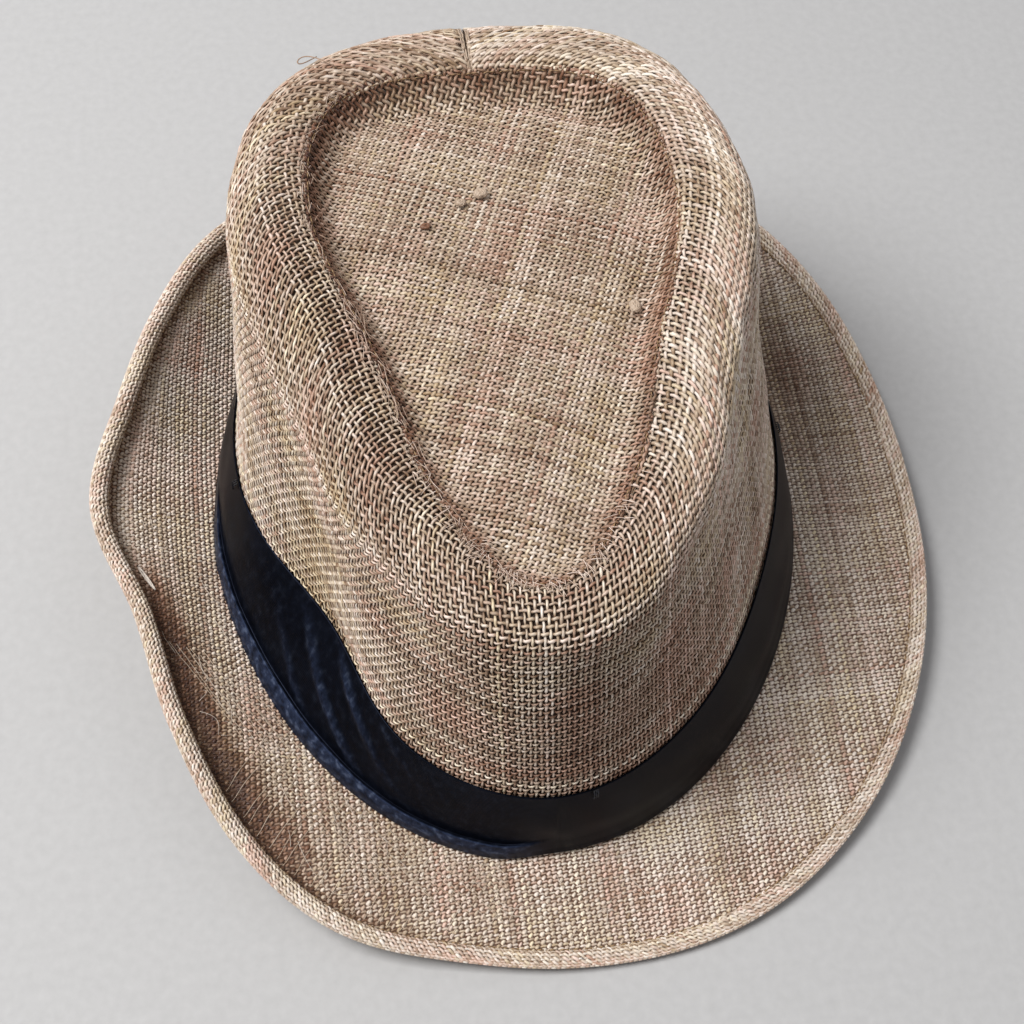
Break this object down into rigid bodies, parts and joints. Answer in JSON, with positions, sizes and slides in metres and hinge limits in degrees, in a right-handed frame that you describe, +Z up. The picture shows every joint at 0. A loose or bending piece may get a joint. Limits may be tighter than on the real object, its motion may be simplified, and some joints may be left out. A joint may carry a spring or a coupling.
{
  "type": "trilby hat",
  "caption": "Woven paper-straw trilby hat with a teardrop crown, a curled wired brim with a bound edge, and a black satin hat band.",
  "frame": {"origin": "on the surface that the hat stands on, under the middle of its overall box", "axes": "+Z up, -Y towards the front of the hat, +X to the wearer's left"},
  "size_m": [0.2406, 0.2654, 0.1187],
  "materials": {
    "straw": "plain-woven tan paper straw with glossy yarns",
    "satin": "black polyester satin with a soft blue sheen",
    "tape": "matt woven cotton tape",
    "steel": "drawn spring wire",
    "thread": "spun sewing thread"
  },
  "bodies": {
    "root": {"crown_side": "straw", "crown_tip": "straw", "brim": "straw", "brim_binding": "straw", "brim_wire": "steel", "binding_thread": "thread", "tip_seam_thread": "thread", "sweatband": "tape", "sweatband_join": "tape", "sweatband_thread": "thread", "hat_band": "satin", "band_tab": "satin", "band_tack_front": "thread", "band_tack_plus_x": "thread", "band_tack_back": "thread", "band_tack_minus_x": "thread"}
  },
  "joints": []
}
